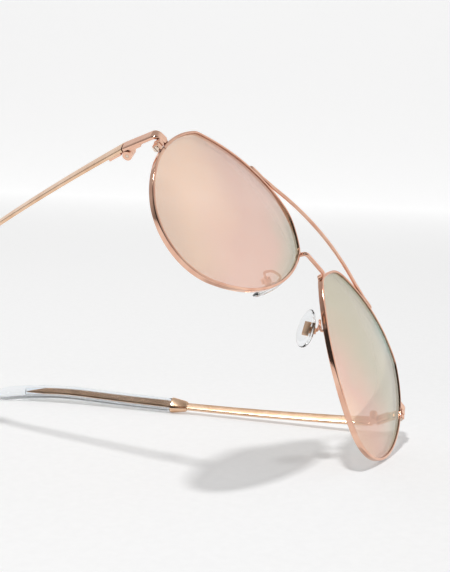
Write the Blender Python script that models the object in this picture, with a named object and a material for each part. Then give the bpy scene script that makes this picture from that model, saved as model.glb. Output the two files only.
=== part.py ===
"""Wire-frame aviator sunglasses: two lenses in metal rims, a bridge, a brow bar,
folding temples with clear ear tips, and rocking nose pads.

Sides are the wearer's: the left side is +X. The front faces -Y and up is +Z.
Every piece is worked out in the frame's own axes (lens middles at height 0, the
front of the lenses at depth 0), then the whole frame leans back until the rims and
the temple tips stand on one floor.
"""
import math

import bmesh
import bpy
from mathutils import Matrix, Vector
from mathutils.geometry import interpolate_bezier

MM = 0.001
TURN = 2 * math.pi
MERGE = 1e-4                # points closer than this many millimetres are one
UP = Vector((0, 0, 1))
SIDES = {"left": 1, "right": -1}

# ---- driving dimensions (millimetres and degrees)
LENS_SPACING = 75.0         # between the middles of the two lenses
# The lens edge is a chain of arcs: the direction each arc starts to face (0 is the
# nose, 90 is up) and its radius. Two radii are left open and close the outline.
LENS_ARCS = ((28.5, 30.0), (42.5, 8.2), (85.0, 94.0), (109.0, 3.4), (139.0, None),
             (206.5, 20.5), (290.0, None), (353.0, 6.6))
FIRST_ARC_CENTRE = Vector((2.89, 1.51))
LENS_SPHERE = 120.0         # radius of the sphere the lenses are cut from
LENS_THICKNESS = 1.4
WRAP = 6.0                  # each lens is turned back round the face by this angle
RIM_FACE = 0.9              # width of the rim seen from the front
RIM_DEPTH = 1.7             # depth of the rim, front to back
GROOVE = 0.42               # depth of the V groove that holds the lens
FIT = 0.05                  # clearance between neighbouring pieces

CORNER = Vector((68.9, 7.2, 6.4))    # where the end piece turns back (left side)
ARM_LENGTH = 12.0           # from that corner back to the hinge
ARM_OUT = 5.0               # the arms spread outward by this angle
OPEN_IN = 1.1               # a fully open temple points inward by this angle
REST_FOLD = {"left": 26.0, "right": 0.0}    # how far each temple rests folded in
HINGE_RADIUS = 1.5
STRIP_HALF = 0.6            # half the thickness of the end pieces and temple bars
HINGE_INSET = 2.45          # hinge axis to the middle of the temple bar
PIN_LEAN = {"left": 2.0, "right": 7.5}      # so the right temple folds above the left

TEMPLE_LENGTH = 145.0       # hinge to the end of the ear tip
FERRULE_START = 69.5
FERRULE_END = 76.0
EAR_START = 110.0           # where the temple starts to curve down over the ear
EAR_RADIUS = 100.0
BOW_RADIUS = 900.0          # gentle inward bow of the whole temple
CORE_END = 133.0            # the pointed end of the wire inside the clear tip

PAD_MIDDLE = Vector((10.2, 7.6, -2.8))       # left pad
PAD_UP = Vector((-0.41, -0.455, 0.79)).normalized()
PAD_OUT = Vector((-0.88, 0.12, -0.46))        # the way its face looks
PAD_LENGTH = 12.5
PAD_WIDTH = 7.0
PAD_THICKNESS = 2.0
PAD_AXIS_BACK = 2.1         # rocking axis behind the middle of the pad

LEAN = 9.62                 # the frame leans back until the temple tips touch down


# ---- materials
def material(name, colour, roughness, metallic):
    """A Principled material, made once per name."""
    made = bpy.data.materials.get(name) or bpy.data.materials.new(name)
    made.use_nodes = True
    shader = made.node_tree.nodes["Principled BSDF"]
    shader.inputs["Base Color"].default_value = (*colour, 1.0)
    shader.inputs["Roughness"].default_value = roughness
    shader.inputs["Metallic"].default_value = metallic
    return made


def gold():
    return material("rose_gold_metal", (0.80, 0.55, 0.36), 0.22, 1.0)


def steel():
    return material("screw_steel", (0.72, 0.62, 0.52), 0.30, 1.0)


def mirror_glass():
    return material("mirror_lens", (0.90, 0.70, 0.60), 0.08, 0.3)


def clear_plastic():
    return material("clear_plastic", (0.86, 0.89, 0.92), 0.12, 0.0)


# ---- general shape helpers
def add_piece(name, bm, made_of, parent=None, sharp=40):
    """Turn a finished bmesh into a named piece of the assembly."""
    bmesh.ops.scale(bm, vec=(MM, MM, MM), verts=bm.verts)
    bmesh.ops.recalc_face_normals(bm, faces=bm.faces)
    mesh = bpy.data.meshes.new(name)
    bm.to_mesh(mesh)
    bm.free()
    mesh.shade_smooth()
    mesh.set_sharp_from_angle(angle=math.radians(sharp))
    mesh.materials.append(made_of)
    piece = bpy.data.objects.new(name, mesh)
    bpy.context.scene.collection.objects.link(piece)
    piece.parent = parent
    return piece


def add_empty(name, parent, point):
    """A named place in the assembly that other pieces hang on."""
    empty = bpy.data.objects.new(name, None)
    bpy.context.scene.collection.objects.link(empty)
    empty.parent = parent
    empty.location = point * MM
    return empty


def skin(steps, around, shape):
    """Bend a flat grid into a closed skin: shape(step, angle) gives each point."""
    bm = bmesh.new()
    bmesh.ops.create_grid(bm, x_segments=steps, y_segments=around, size=0.5)
    for vert in bm.verts:
        step = round((vert.co.x + 0.5) * steps)
        vert.co = shape(step, round((vert.co.y + 0.5) * around) * TURN / around)
    bmesh.ops.remove_doubles(bm, verts=bm.verts, dist=MERGE)
    open_edges = [edge for edge in bm.edges if edge.is_boundary]
    bmesh.ops.holes_fill(bm, edges=open_edges)
    return bm


def section(angle, half_side, half_rise, squareness):
    """A point on a rounded-rectangle section; squareness 2 is an ellipse."""
    power = 2 / squareness
    cos, sin = math.cos(angle), math.sin(angle)
    side = math.copysign(abs(cos) ** power, cos) if abs(cos) > 1e-9 else 0.0
    rise = math.copysign(abs(sin) ** power, sin) if abs(sin) > 1e-9 else 0.0
    return half_side * side, half_rise * rise


def sleeve(spine, rings, around, up=UP):
    """Skin a row of rings strung along a spine.

    spine(distance) gives a point and a direction; each ring is
    (distance, half_side, half_rise, squareness).
    """
    def shape(step, angle):
        distance, half_side, half_rise, squareness = rings[step]
        point, along = spine(distance)
        side = along.cross(up).normalized()
        rise = side.cross(along)
        across, tall = section(angle, half_side, half_rise, squareness)
        return point + side * across + rise * tall

    return skin(len(rings) - 1, around, shape)


def filleted(points, radius, steps=4):
    """A path through the points with each inner corner rounded off."""
    path = [points[0]]
    for before, corner, after in zip(points, points[1:], points[2:]):
        enter = corner + (before - corner).normalized() * radius
        leave = corner + (after - corner).normalized() * radius
        path += interpolate_bezier(
            enter, enter.lerp(corner, 0.6), leave.lerp(corner, 0.6), leave, steps + 1)
    return path + [points[-1]]


def path_spine(path):
    """A spine that runs through a list of points; distance counts the points."""
    def spine(index):
        before = path[max(index - 1, 0)]
        after = path[min(index + 1, len(path) - 1)]
        return path[index], (after - before).normalized()
    return spine


def rod(start, end, radius, sides=16):
    """A straight round rod between two points."""
    bm = bmesh.new()
    turn = UP.rotation_difference(end - start).to_matrix().to_4x4()
    bmesh.ops.create_cone(
        bm, cap_ends=True, segments=sides, radius1=radius, radius2=radius,
        depth=(end - start).length, matrix=Matrix.Translation((start + end) / 2) @ turn)
    return bm


def box(low, high):
    """A straight box between two corners."""
    bm = bmesh.new()
    bmesh.ops.create_cube(bm, size=1)
    low, high = Vector(low), Vector(high)
    bmesh.ops.scale(bm, vec=high - low, verts=bm.verts)
    bmesh.ops.translate(bm, vec=(low + high) / 2, verts=bm.verts)
    return bm


def carve(piece, bm, operation="DIFFERENCE"):
    """Cut a hidden tool out of a piece, or weld it on with UNION."""
    tool = add_piece(piece.name + "_tool", bm, piece.data.materials[0], piece.parent)
    tool.location = piece.location
    tool.rotation_euler = piece.rotation_euler
    tool.hide_render = True
    tool.display_type = "WIRE"
    change = piece.modifiers.new(operation.title(), "BOOLEAN")
    change.solver = "EXACT"
    change.operation = operation
    change.object = tool


# ---- the lens outline and the sphere it lies on
def facing(degrees):
    """The unit arrow that faces a direction in the plane of the lens."""
    return Vector((math.cos(math.radians(degrees)), math.sin(math.radians(degrees))))


def chain_of_arcs():
    """Radius and centre of every arc, each arc leaving the one before smoothly."""
    starts = [start for start, _ in LENS_ARCS]
    ends = starts[1:] + [starts[0] + 360]
    chords = [facing(end) - facing(start) for start, end in zip(starts, ends)]
    radii = [radius for _, radius in LENS_ARCS]
    one, other = [index for index, radius in enumerate(radii) if radius is None]
    gap = Vector((0, 0))
    for chord, radius in zip(chords, radii):
        gap -= chord * (radius or 0)
    area = chords[one].cross(chords[other])
    radii[one] = gap.cross(chords[other]) / area
    radii[other] = chords[one].cross(gap) / area
    centres = [FIRST_ARC_CENTRE]
    for start, before, radius in zip(starts[1:], radii, radii[1:]):
        centres.append(centres[-1] + facing(start) * (before - radius))
    return list(zip(starts, radii, centres))


ARC_CHAIN = chain_of_arcs()


def outline(angle, offset=0.0):
    """The point of the lens edge that faces an angle, moved outward by an offset."""
    first = ARC_CHAIN[0][0]
    degrees = (math.degrees(angle) - first) % 360 + first
    _, radius, centre = max(arc for arc in ARC_CHAIN if arc[0] <= degrees)
    return centre + facing(degrees) * (radius + offset)


def on_face(side, across, height, depth):
    """A point on the wrapped lens sphere; depth counts back from the front face."""
    sag = LENS_SPHERE - math.sqrt(LENS_SPHERE ** 2 - across ** 2 - height ** 2) + depth
    cos, sin = math.cos(math.radians(WRAP)), math.sin(math.radians(WRAP))
    x = LENS_SPACING / 2 - across * cos - sag * sin
    return Vector((side * x, sag * cos - across * sin, height))


def on_rim(side, degrees, offset, depth):
    """A point beside the rim, offset outward from the lens edge."""
    edge = outline(math.radians(degrees), offset)
    return on_face(side, edge.x, edge.y, depth)


# ---- rims, lenses and their closing blocks
RIM_SLIT = 171.0            # where round the lens each rim is split and screwed shut
BLOCK_OUT = 2.4             # how far the closing blocks stand out from the rim
BLOCK_GAP = 0.25            # room for the rim to curve past the blocks
BLOCK_SCREW_OUT = 1.35
RIM_SEGMENTS = 72


def rim(name, side):
    """A grooved wire bent round the lens, split at the closing blocks."""
    mid, groove_half = RIM_DEPTH / 2, 0.40
    soft = 0.15
    profile = (
        (0.0, soft), (soft, 0.0), (RIM_FACE - soft, 0.0), (RIM_FACE, soft),
        (RIM_FACE, RIM_DEPTH - soft), (RIM_FACE - soft, RIM_DEPTH), (soft, RIM_DEPTH),
        (0.0, RIM_DEPTH - soft), (0.0, mid + groove_half), (GROOVE, mid),
        (0.0, mid - groove_half))
    half_slit = 0.3

    def shape(step, angle):
        offset, depth = profile[round(angle / TURN * len(profile)) % len(profile)]
        sweep = 360 - 2 * half_slit
        degrees = RIM_SLIT + half_slit + sweep * step / RIM_SEGMENTS
        return on_rim(side, degrees, offset, depth)

    return skin(RIM_SEGMENTS, len(profile), shape)


def lens(name, side):
    """A curved lens with a V edge that sits in the rim's groove."""
    front = (RIM_DEPTH - LENS_THICKNESS) / 2
    back = front + LENS_THICKNESS
    mid = RIM_DEPTH / 2
    inset, bevel = -0.06, 0.38
    rings = [(part / 5, inset, front) for part in range(6)]
    rings += [(1, inset, mid - bevel), (1, GROOVE - 0.08, mid), (1, inset, mid + bevel)]
    rings += [(1 - part / 5, inset, back) for part in range(6)]

    def shape(step, angle):
        part, offset, depth = rings[step]
        edge = outline(angle + math.radians(RIM_SLIT), offset) * part
        return on_face(side, edge.x, edge.y, depth)

    return skin(len(rings) - 1, RIM_SEGMENTS, shape)


def make_lens_side(name, side, frame):
    add_piece(name + "_rim", rim(name, side), gold(), frame)
    add_piece(name + "_lens", lens(name, side), mirror_glass(), frame)


def make_closing_blocks(name, side, frame):
    """Two small blocks on the split ends of the rim, drawn together by a screw."""
    edge = outline(math.radians(RIM_SLIT), RIM_FACE)
    slit = edge.y
    wall = on_face(side, edge.x, slit, RIM_DEPTH / 2)
    near = wall.x + side * BLOCK_GAP
    far = wall.x + side * BLOCK_OUT
    axis = Vector((wall.x + side * BLOCK_SCREW_OUT, wall.y + 0.2, 0))
    front, back = wall.y - 1.0, wall.y + 1.3
    spans = {"upper": (slit + 0.15, slit + 1.5), "lower": (slit - 1.5, slit - 0.15)}
    for place, (low, high) in spans.items():
        shell = box((min(near, far), front, low), (max(near, far), back, high))
        bmesh.ops.bevel(
            shell, geom=shell.edges[:], offset=0.3, offset_type="OFFSET", segments=2,
            profile=0.5, affect="EDGES", material=-1)
        block = add_piece(f"{name}_closing_block_{place}", shell, gold(), frame)
        hole = rod(axis + UP * (low - 1), axis + UP * (high + 1), 0.5 + FIT)
        carve(block, hole)
    head_low = spans["lower"][0] - FIT
    screw = rod(axis + UP * (head_low - 0.5), axis + UP * head_low, 0.9)
    piece = add_piece(name + "_closing_screw", screw, steel(), frame)
    shaft = rod(axis + UP * (head_low - 0.3), axis + UP * (spans["upper"][1] - 0.1), 0.5)
    carve(piece, shaft, "UNION")
    slot = box(axis + Vector((-1, -0.12, head_low - 0.7)),
               axis + Vector((1, 0.12, head_low - 0.3)))
    carve(piece, slot)


# ---- bridge and brow bar
BRIDGE_ANGLE = 8.0          # where round the lens the bridge is soldered
BRIDGE_FORWARD = 2.4        # how far it steps forward of the rims


def make_bridge(frame):
    """A staple-shaped bridge that steps forward from the two rims."""
    half_width, half_height = 0.6, 0.7
    foot = on_rim(-1, BRIDGE_ANGLE, RIM_FACE + FIT + half_width, RIM_DEPTH * 0.55)
    half = [foot, foot + Vector((0.4, -BRIDGE_FORWARD, 0))]
    mirrored = [Vector((-point.x, point.y, point.z)) for point in reversed(half)]
    path = filleted(half + mirrored, 1.1, steps=5)
    rings = [(index, half_width, half_height, 2.6) for index in range(len(path))]
    add_piece("bridge", sleeve(path_spine(path), rings, 14), gold(), frame)


BAR_PAD_ANGLES = (96, 94.8, 93.6, 92.4)
BAR_HALF_HEIGHT = 0.6
BAR_RISE = 2.6              # between its pads the bar arches up
BAR_FORWARD = 2.4           # and forward


def make_brow_bar(frame):
    """An arched bar over the bridge; its flattened ends lie on the rims."""
    pad_half = 0.5
    rest = RIM_FACE + FIT + pad_half
    half = [on_rim(-1, angle, rest, RIM_DEPTH / 2) for angle in BAR_PAD_ANGLES]
    pads = len(half)
    leaves = half[-1]
    for part in (0.1, 0.2, 0.35, 0.5, 0.65, 0.8, 1):
        arch = 1 - (1 - part) ** 2
        lift = Vector((-leaves.x * part, -BAR_FORWARD * arch, BAR_RISE * arch))
        half.append(leaves + lift)
    path = half + [Vector((-point.x, point.y, point.z)) for point in reversed(half[:-1])]
    rings = []
    for index in range(len(path)):
        from_end = min(index, len(path) - 1 - index)
        slim = min(max((from_end - pads + 1) / 2, 0), 1)
        end = 0.6 if from_end == 0 else 1.0
        half_depth = (1.1 - 0.5 * slim) * end
        half_height = pad_half + (BAR_HALF_HEIGHT - pad_half) * slim
        rings.append((index, half_depth, half_height * end, 4 - slim))
    add_piece("brow_bar", sleeve(path_spine(path), rings, 12), gold(), frame)


# ---- end pieces and hinges
def arm_end(side):
    """The back end of the end piece's arm, where the temple meets it."""
    angle = math.radians(ARM_OUT)
    point = CORNER + Vector((math.sin(angle), math.cos(angle), 0)) * ARM_LENGTH
    return Vector((side * point.x, point.y, point.z))


def hinge_point(side):
    """The middle of the hinge, inboard of the arm's end."""
    angle = math.radians(ARM_OUT)
    inboard = Vector((-side * math.cos(angle), math.sin(angle), 0))
    return arm_end(side) + inboard * HINGE_INSET


def make_end_piece(name, side, frame):
    """The strip that leaves the rim, turns back and carries the hinge."""
    start = on_rim(side, 163, RIM_FACE + 0.75, RIM_DEPTH / 2)
    start.z = CORNER.z + 0.8
    corner = Vector((side * CORNER.x, CORNER.y, CORNER.z))
    path = filleted([start, corner, arm_end(side)], 1.7, steps=5)
    rings = []
    for index in range(len(path)):
        part = index / (len(path) - 1)
        rings.append((index, STRIP_HALF, 1.4 + 0.4 * part, 5))
    rings[0] = (0, STRIP_HALF, 1.2, 5)
    add_piece(name + "_end_piece", sleeve(path_spine(path), rings, 12), gold(), frame)


BARREL_HALF = 1.8
KNUCKLE_HALF = 0.6


def barrel(half_height):
    return rod(UP * -half_height, UP * half_height, HINGE_RADIUS, 20)


def fold_turn(name, side):
    """How far a temple at rest is turned about its hinge, in radians."""
    return side * math.radians(OPEN_IN + REST_FOLD[name])


def pin_lean(name, side):
    """Tips the hinge pin about the line of the open temple."""
    return Matrix.Rotation(-side * math.radians(PIN_LEAN[name]), 4, "Y")


def make_hinge(name, side, frame):
    """A three-knuckle hinge: the outer two on the arm, the middle one on the temple.

    Its plates lie flat on the arm and the bar; its barrel may lean with the pin.
    """
    plate_out = HINGE_INSET - STRIP_HALF - 2 * FIT
    plate_in = plate_out - 0.7
    low, high = sorted((side * plate_in, side * plate_out))
    neck_low, neck_high = sorted((side * plate_in, side * (plate_out - 0.1)))
    lean = pin_lean(name, side)
    arm = Matrix.Rotation(-side * math.radians(ARM_OUT), 4, "Z")
    bar = Matrix.Rotation(fold_turn(name, side), 4, "Z")
    reach = 3.0

    def plate(strip, low_end, high_end):
        """A plate that stays flat on its strip, told in the leaning leaf's axes."""
        bm = box((low, low_end, -1.2), (high, high_end, 1.2))
        upright = (lean @ strip).inverted() @ strip
        bmesh.ops.transform(bm, matrix=upright, verts=bm.verts)
        return bm

    def on_pin(role, bm, made_of, strip):
        piece = add_piece(f"{name}_hinge_{role}", bm, made_of, frame)
        piece.location = hinge_point(side) * MM
        piece.rotation_euler = (lean @ strip).to_euler()
        return piece

    front = on_pin("front_leaf", barrel(BARREL_HALF), gold(), arm)
    carve(front, plate(arm, -5.5, -0.2), "UNION")
    carve(front, box((-4, -HINGE_RADIUS - 0.15, -KNUCKLE_HALF - FIT),
                     (4, 4, KNUCKLE_HALF + FIT)))
    carve(front, rod(UP * -reach, UP * reach, 0.5 + FIT))

    back = on_pin("temple_leaf", barrel(KNUCKLE_HALF), gold(), bar)
    neck = box((neck_low, 0.1, -KNUCKLE_HALF), (neck_high, 2.4, KNUCKLE_HALF))
    carve(back, neck, "UNION")
    carve(back, plate(bar, HINGE_RADIUS + 0.25, 6.5), "UNION")
    carve(back, rod(UP * -reach, UP * reach, 0.5 + FIT))

    top = BARREL_HALF + FIT
    head = rod(UP * top, UP * (top + 0.5), 1.15, 20)
    screw = on_pin("screw", head, steel(), Matrix())
    carve(screw, rod(UP * -BARREL_HALF, UP * (top + 0.3), 0.5), "UNION")
    carve(screw, box((-2, -0.14, top + 0.25), (2, 0.14, top + 1)))


# ---- temples
def temple_spine(side):
    """The temple's middle line: bowed inward, then curving down over the ear."""
    def spine(distance):
        bow = distance / BOW_RADIUS
        inward = BOW_RADIUS * (1 - math.cos(bow))
        droop = max(distance - EAR_START, 0) / EAR_RADIUS
        back = min(distance, EAR_START) + EAR_RADIUS * math.sin(droop)
        drop = EAR_RADIUS * (1 - math.cos(droop))
        point = Vector((side * (HINGE_INSET - inward), back, -drop))
        along = Vector((-side * math.sin(bow), math.cos(bow) * math.cos(droop),
                        -math.sin(droop)))
        return point, along.normalized()
    return spine


def core_size(distance):
    """Half sizes and squareness of the temple bar and the wire inside the tip."""
    if distance <= FERRULE_START:
        return STRIP_HALF, 1.8 - 0.35 * distance / FERRULE_START, 5
    part = (distance - FERRULE_START) / (CORE_END - FERRULE_START)
    return STRIP_HALF - 0.1 * part, 1.45 - 0.25 * part, 4


def make_temple_bar(name, side, temple):
    """A flat metal bar that carries on as a wire to a point inside the clear tip."""
    stations = [0.15, 12, 24, 36, 48, 60, FERRULE_START, FERRULE_END, 84, 92, 101]
    stations += [EAR_START + 4 * index for index in range(5)]
    rings = [(distance, *core_size(distance)) for distance in stations]
    rings += [(CORE_END - 5, 0.45, 0.9, 3), (CORE_END, 0.12, 0.12, 2)]
    add_piece(name + "_temple_bar", sleeve(temple_spine(side), rings, 12), gold(), temple)


def make_ferrule(name, side, temple):
    """A flared collar where the bar enters the clear tip."""
    bore = (STRIP_HALF + 2 * FIT, 1.45 + 2 * FIT, 4)
    start, end = FERRULE_START + 0.2, FERRULE_END - 0.05
    outside = [(start, 1.0, 1.8, 4), (start + 0.8, 1.3, 2.0, 4),
               (end - 0.9, 1.95, 2.9, 3), (end, 1.95, 2.9, 3)]
    loop = outside + [(end, *bore), (start, *bore), outside[0]]
    add_piece(name + "_ferrule", sleeve(temple_spine(side), loop, 16), gold(), temple)


def tip_size(distance):
    """Half sizes of the clear tip: it widens to a paddle with a rounded end."""
    widening = max(distance - EAR_START, 0) / (TEMPLE_LENGTH - EAR_START)
    half_side, half_rise = 1.85 - 0.2 * widening, 2.6 + 0.3 * widening ** 2
    left = (TEMPLE_LENGTH - distance) / 6.0
    close = math.sqrt(max(1 - (1 - min(left, 1)) ** 2, 0))
    return half_side * close, half_rise * close, 2.5


def make_clear_tip(name, side, temple):
    """The clear ear tip with a blind channel for the wire."""
    start, bottom = FERRULE_END + FIT, CORE_END + 0.4
    channel = [84, 92, 101, 110, 114, 118, 122, 126, 130]

    def channel_size(distance):
        half_side, half_rise, squareness = core_size(distance)
        return half_side + 2 * FIT, half_rise + 2 * FIT, squareness

    rings = [(bottom, 0, 0, 3), (bottom, *channel_size(CORE_END))]
    rings += [(distance, *channel_size(distance)) for distance in reversed(channel)]
    rings.append((start, *channel_size(start)))
    rounding = [TEMPLE_LENGTH - left for left in (10.5, 6, 3.5, 2, 1, 0.3)]
    outside = [start] + channel + rounding
    rings += [(distance, *tip_size(distance)) for distance in outside]
    rings.append((TEMPLE_LENGTH, 0, 0, 2.5))
    piece = sleeve(temple_spine(side), rings, 16)
    add_piece(name + "_clear_tip", piece, clear_plastic(), temple, sharp=60)


def make_temple(name, side, frame):
    """Everything that folds. One empty marks the hinge axis, one carries the bar."""
    axis = add_empty(name + "_temple_axis", frame, hinge_point(side))
    axis.rotation_euler = pin_lean(name, side).to_euler()
    temple = add_empty(name + "_temple_seat", frame, hinge_point(side))
    temple.rotation_euler.z = fold_turn(name, side)
    make_hinge(name, side, frame)
    make_temple_bar(name, side, temple)
    make_ferrule(name, side, temple)
    make_clear_tip(name, side, temple)


# ---- nose pads
def pad_axes(side):
    """Turn from the pad's own axes (X across, Y the face, Z along) to the frame's."""
    up = Vector((side * PAD_UP.x, PAD_UP.y, PAD_UP.z))
    face = Vector((side * PAD_OUT.x, PAD_OUT.y, PAD_OUT.z))
    face = (face - up * face.dot(up)).normalized()
    across = face.cross(up)
    return Matrix((across, face, up)).transposed()


def pad_axis_point(side):
    face = pad_axes(side).col[1]
    middle = Vector((side * PAD_MIDDLE.x, PAD_MIDDLE.y, PAD_MIDDLE.z))
    return middle - face * PAD_AXIS_BACK


LUG_WIDTH = 1.0
BOX_WIDTH = 2.6


def make_pad(name, pivot):
    """A clear oval pad, its metal insert with a lug, both rocking on a screw."""
    back = PAD_AXIS_BACK - PAD_THICKNESS / 2
    bm = bmesh.new()
    bmesh.ops.create_uvsphere(bm, u_segments=20, v_segments=12, radius=0.5)
    bmesh.ops.scale(bm, vec=(PAD_WIDTH, PAD_THICKNESS, PAD_LENGTH), verts=bm.verts)
    for vert in bm.verts:
        lower = -vert.co.z / PAD_LENGTH
        vert.co.x *= 1 + 0.25 * lower
        vert.co.y += PAD_AXIS_BACK
    pad = add_piece(name + "_nose_pad", bm, clear_plastic(), pivot)
    carve(pad, box((-1.3, 0, -2.3), (1.3, back + 0.75, 2.3)))

    plate = box((-1.25, back + 0.15, -2.25), (1.25, back + 0.7, 2.25))
    insert = add_piece(name + "_pad_insert", plate, gold(), pivot)
    lug = box((-LUG_WIDTH / 2, -0.6, -0.8), (LUG_WIDTH / 2, back + 0.3, 0.8))
    carve(insert, lug, "UNION")
    across = Vector((1, 0, 0))
    carve(insert, rod(across * -2, across * 2, 0.35 + FIT, 12))


def make_pad_holder(name, pivot_seat, side, frame):
    """The U-shaped box that grips the lug, its screw and the bent arm."""
    half = BOX_WIDTH / 2
    shell = box((-half, -1.3, -1.0), (half, 0.55, 1.0))
    holder = add_piece(name + "_pad_box", shell, gold(), pivot_seat)
    slot = LUG_WIDTH / 2 + FIT
    carve(holder, box((-slot, -0.85, -2), (slot, 2, 2)))
    across = Vector((1, 0, 0))
    carve(holder, rod(across * -3, across * 3, 0.35 + FIT, 12))
    shaft = rod(across * -half, across * (half + 0.3), 0.35, 12)
    screw = add_piece(name + "_pad_screw", shaft, steel(), pivot_seat)
    carve(screw, rod(across * (half + FIT), across * (half + 0.4), 0.6, 12), "UNION")

    axes = pad_axes(side)
    box_back = pad_axis_point(side) + axes @ Vector((0, -1.3 - FIT, 0.2))
    foot = on_rim(side, 331.5, RIM_FACE * 0.5, RIM_DEPTH + 0.12)
    rise = [Vector((0, 1.1, 0)), Vector((-side * 1.3, 1.4, 4.2)),
            Vector((side * 1.2, 3.0, 5.2))]
    bends = [foot + step for step in rise] + [box_back + axes @ Vector((0, -1.7, 0))]
    path = filleted([foot] + bends + [box_back], 0.95, steps=3)
    rings = [(index, 0.42, 0.42, 2) for index in range(len(path))]
    arm = sleeve(path_spine(path), rings, 10, up=Vector((0.9 * side, 0.3, 0.1)))
    add_piece(name + "_pad_arm", arm, gold(), frame)


def make_nose_pad(name, side, frame):
    """Seat and pivot share one place; only the pivot carries the rocking pad."""
    places = []
    for role in ("seat", "pivot"):
        place = add_empty(f"{name}_pad_{role}", frame, pad_axis_point(side))
        place.rotation_euler = pad_axes(side).to_euler()
        places.append(place)
    make_pad_holder(name, places[0], side, frame)
    make_pad(name, places[1])


# ---- the whole assembly
def lowest_point():
    """The lowest point of every rendered mesh, and the middle of the box."""
    bpy.context.view_layer.update()
    points = [piece.matrix_world @ vert.co
              for piece in bpy.context.scene.objects
              if piece.type == "MESH" and not piece.hide_render
              for vert in piece.data.vertices]
    low = Vector([min(point[axis] for point in points) for axis in range(3)])
    high = Vector([max(point[axis] for point in points) for axis in range(3)])
    return Vector(((low.x + high.x) / 2, (low.y + high.y) / 2, low.z))


def main():
    for old in list(bpy.data.objects):
        bpy.data.objects.remove(old)
    frame = bpy.data.objects.new("frame_axes", None)
    bpy.context.scene.collection.objects.link(frame)
    frame.rotation_euler.x = -math.radians(LEAN)

    make_bridge(frame)
    make_brow_bar(frame)
    for name, side in SIDES.items():
        make_lens_side(name, side, frame)
        make_closing_blocks(name, side, frame)
        make_end_piece(name, side, frame)
        make_temple(name, side, frame)
        make_nose_pad(name, side, frame)
    frame.location = -lowest_point()
    bpy.context.view_layer.update()


main()
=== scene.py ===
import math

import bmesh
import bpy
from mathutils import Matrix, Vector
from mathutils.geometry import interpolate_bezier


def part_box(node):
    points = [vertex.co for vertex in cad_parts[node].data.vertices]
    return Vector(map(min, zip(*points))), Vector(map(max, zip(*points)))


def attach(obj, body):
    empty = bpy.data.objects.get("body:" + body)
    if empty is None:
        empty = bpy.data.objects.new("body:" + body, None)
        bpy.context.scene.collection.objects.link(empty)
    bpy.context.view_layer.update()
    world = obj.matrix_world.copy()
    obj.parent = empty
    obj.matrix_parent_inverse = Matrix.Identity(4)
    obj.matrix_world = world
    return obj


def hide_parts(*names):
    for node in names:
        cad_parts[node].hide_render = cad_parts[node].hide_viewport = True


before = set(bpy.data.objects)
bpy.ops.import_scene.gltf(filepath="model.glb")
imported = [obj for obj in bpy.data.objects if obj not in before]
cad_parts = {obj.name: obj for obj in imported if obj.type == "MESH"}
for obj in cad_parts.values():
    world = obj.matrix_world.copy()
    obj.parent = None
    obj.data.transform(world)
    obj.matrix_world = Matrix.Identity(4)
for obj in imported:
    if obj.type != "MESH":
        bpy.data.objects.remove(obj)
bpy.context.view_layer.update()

# %% [markdown]
# # Wire-frame aviator sunglasses
# The frame above holds the solids of the glasses. This lesson gives them their
# looks. The fine wires, lenses and tips are modelled again with more segments and
# soft edges, and every surface gets a finish made from nodes. Nothing here is a
# picture: each scratch and tint is worked out by the material.

MM = 0.001
TURN = 2 * math.pi
UP = Vector((0, 0, 1))
SIDES = {"left": 1, "right": -1}

# %% [markdown]
# ## The lens outline
# An aviator lens is a drooping drop. Its edge is a chain of arcs that flow into each
# other: the list says in which direction each arc starts to face, and its radius.
# Two radii are left open, and are worked out so that the chain closes. The lens
# itself is a thin cap cut from a large sphere and turned a little round the face.
# These are the same driving sizes as in the solids, in millimetres and degrees.

# %% Lens sizes
LENS_SPACING = 75.0
LENS_ARCS = ((28.5, 30.0), (42.5, 8.2), (85.0, 94.0), (109.0, 3.4), (139.0, None),
             (206.5, 20.5), (290.0, None), (353.0, 6.6))
FIRST_ARC_CENTRE = Vector((2.89, 1.51))
LENS_SPHERE = 120.0
LENS_THICKNESS = 1.4
WRAP = math.radians(6.0)
RIM_FACE = 0.9
RIM_DEPTH = 1.7
RIM_SLIT = 171.0
GROOVE = 0.42
FIT = 0.05


# %% Chain of arcs
def facing(degrees):
    return Vector((math.cos(math.radians(degrees)), math.sin(math.radians(degrees))))


def chain_of_arcs():
    """Start, radius and centre of every arc, each leaving the one before smoothly."""
    starts = [start for start, _ in LENS_ARCS]
    ends = starts[1:] + [starts[0] + 360]
    chords = [facing(end) - facing(start) for start, end in zip(starts, ends)]
    radii = [radius for _, radius in LENS_ARCS]
    one, other = [index for index, radius in enumerate(radii) if radius is None]
    gap = Vector((0, 0))
    for chord, radius in zip(chords, radii):
        gap -= chord * (radius or 0)
    area = chords[one].cross(chords[other])
    radii[one] = gap.cross(chords[other]) / area
    radii[other] = chords[one].cross(gap) / area
    centres = [FIRST_ARC_CENTRE]
    for start, before, radius in zip(starts[1:], radii, radii[1:]):
        centres.append(centres[-1] + facing(start) * (before - radius))
    return list(zip(starts, radii, centres))


ARC_CHAIN = chain_of_arcs()
print("arc radii:", [round(radius, 1) for _, radius, _ in ARC_CHAIN])


# %% Points on the lens and the rim
def outline(angle, offset=0.0):
    first = ARC_CHAIN[0][0]
    degrees = (math.degrees(angle) - first) % 360 + first
    _, radius, centre = max(arc for arc in ARC_CHAIN if arc[0] <= degrees)
    return centre + facing(degrees) * (radius + offset)


def on_face(side, across, height, depth):
    sag = LENS_SPHERE - math.sqrt(LENS_SPHERE ** 2 - across ** 2 - height ** 2) + depth
    x = LENS_SPACING / 2 - across * math.cos(WRAP) - sag * math.sin(WRAP)
    return Vector((side * x, sag * math.cos(WRAP) - across * math.sin(WRAP), height))


def on_rim(side, degrees, offset, depth):
    edge = outline(math.radians(degrees), offset)
    return on_face(side, edge.x, edge.y, depth)


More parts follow.
